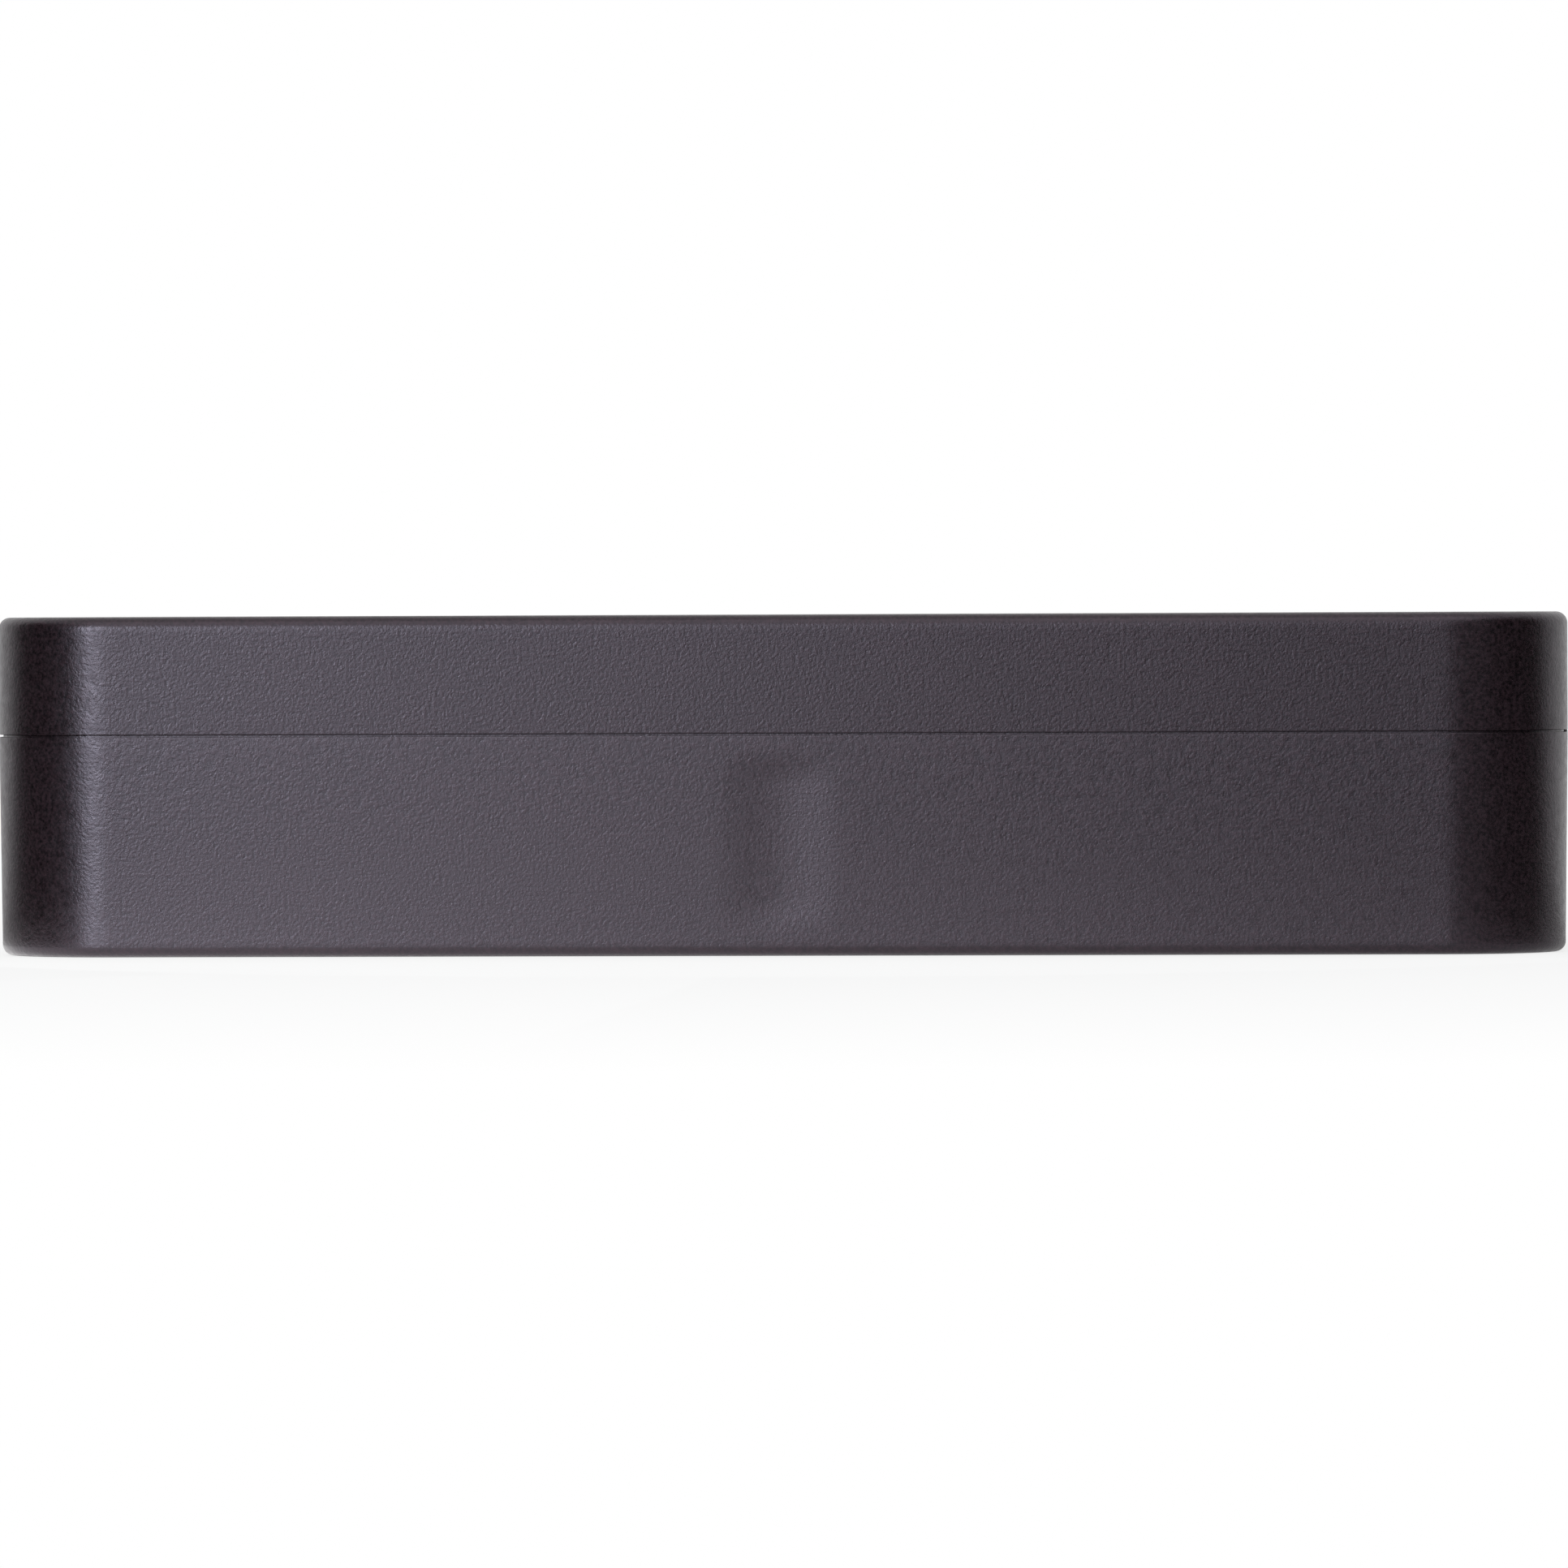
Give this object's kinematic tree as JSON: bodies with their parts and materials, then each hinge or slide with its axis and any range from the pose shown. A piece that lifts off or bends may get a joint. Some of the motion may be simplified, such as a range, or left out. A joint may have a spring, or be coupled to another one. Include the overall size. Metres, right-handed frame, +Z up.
{
  "type": "power strip",
  "caption": "Long rounded power strip with recessed round earthed outlets, shutters over the pin holes, a recessed rocker switch and a flush cord entry in the back.",
  "frame": {"origin": "middle of the underside, on the surface that the strip lies on", "axes": "+X along the strip, from the switch to the outlets; +Y across it, out of the side with the cord entry; +Z up, out of the outlets"},
  "size_m": [0.195, 0.058, 0.042],
  "materials": {
    "cover_plastic": "anthracite, fine spark-eroded grain, low sheen",
    "base_plastic": "anthracite, fine spark-eroded grain, low sheen",
    "outlet_plastic": "anthracite, smooth satin",
    "plate_plastic": "grey, plain",
    "shutter_plastic": "off-white, plain",
    "clip_metal": "nickel plated",
    "bar_brass": "plain",
    "natural_plastic": "natural, plain",
    "switch_plastic": "black, smooth",
    "rocker_plastic": "translucent red, polished",
    "plunger_plastic": "natural, smooth",
    "bridge_metal": "copper alloy",
    "terminal_metal": "tinned brass",
    "lead_brown": "brown insulation",
    "lead_blue": "blue insulation",
    "lamp_glass": "clear, faint orange",
    "resistor_body": "lacquered",
    "gland_rubber": "matt black",
    "screw_steel": "zinc plated",
    "spring_steel": "bright spring wire"
  },
  "bodies": {
    "strip": {"top_cover": "cover_plastic", "base_shell": "base_plastic", "socket_well_1": "outlet_plastic", "socket_well_2": "outlet_plastic", "socket_well_3": "outlet_plastic", "socket_floor_1": "outlet_plastic", "socket_floor_2": "outlet_plastic", "socket_floor_3": "outlet_plastic", "shutter_spring_1": "spring_steel", "shutter_spring_2": "spring_steel", "shutter_spring_3": "spring_steel", "shutter_plate_1": "plate_plastic", "shutter_plate_2": "plate_plastic", "shutter_plate_3": "plate_plastic", "earth_clip_1": "clip_metal", "earth_clip_2": "clip_metal", "earth_clip_3": "clip_metal", "contact_tray": "natural_plastic", "live_bar": "bar_brass", "neutral_bar": "bar_brass", "earth_rail": "bar_brass", "switch_housing": "switch_plastic", "line_terminals": "terminal_metal", "load_terminals": "terminal_metal", "live_lead": "lead_brown", "neutral_lead": "lead_blue", "neon_lamp": "lamp_glass", "lamp_resistor": "resistor_body", "cord_gland": "gland_rubber", "cord_clamp": "natural_plastic", "clamp_screws": "screw_steel", "housing_screws": "screw_steel"},
    "rocker": {"rocker": "rocker_plastic", "plungers": "plunger_plastic", "plunger_springs": "spring_steel"},
    "bridges": {"contact_bridges": "bridge_metal"},
    "shutter_a": {"shutter_1": "shutter_plastic"},
    "shutter_b": {"shutter_2": "shutter_plastic"},
    "shutter_c": {"shutter_3": "shutter_plastic"}
  },
  "joints": [
    {"name": "rocker_tilt", "type": "hinge", "parent": "strip", "child": "rocker", "pos_m": [-0.07, 0, 0.036], "axis": [0, -1, 0], "range_deg": [0, 18]},
    {"name": "bridge_tilt", "type": "hinge", "parent": "strip", "child": "bridges", "pos_m": [-0.07, 0, 0.0213], "axis": [0, -1, 0], "range_deg": [-19.9, 0]},
    {"name": "shutter_a_turn", "type": "hinge", "parent": "strip", "child": "shutter_a", "pos_m": [-0.0235, 0, 0.0205], "axis": [0, 0, -1], "range_deg": [0, 38], "stiffness_Nm_per_rad": 0.002, "springref_deg": -11.46, "deforming": ["shutter_spring_1"]},
    {"name": "shutter_b_turn", "type": "hinge", "parent": "strip", "child": "shutter_b", "pos_m": [0.0205, 0, 0.0205], "axis": [0, 0, -1], "range_deg": [0, 38], "stiffness_Nm_per_rad": 0.002, "springref_deg": -11.46, "deforming": ["shutter_spring_2"]},
    {"name": "shutter_c_turn", "type": "hinge", "parent": "strip", "child": "shutter_c", "pos_m": [0.0645, 0, 0.0205], "axis": [0, 0, -1], "range_deg": [0, 38], "stiffness_Nm_per_rad": 0.002, "springref_deg": -11.46, "deforming": ["shutter_spring_3"]}
  ],
  "couplings": [
    {"joint": "bridge_tilt", "follows": "rocker_tilt", "ratio": -1.1}
  ]
}
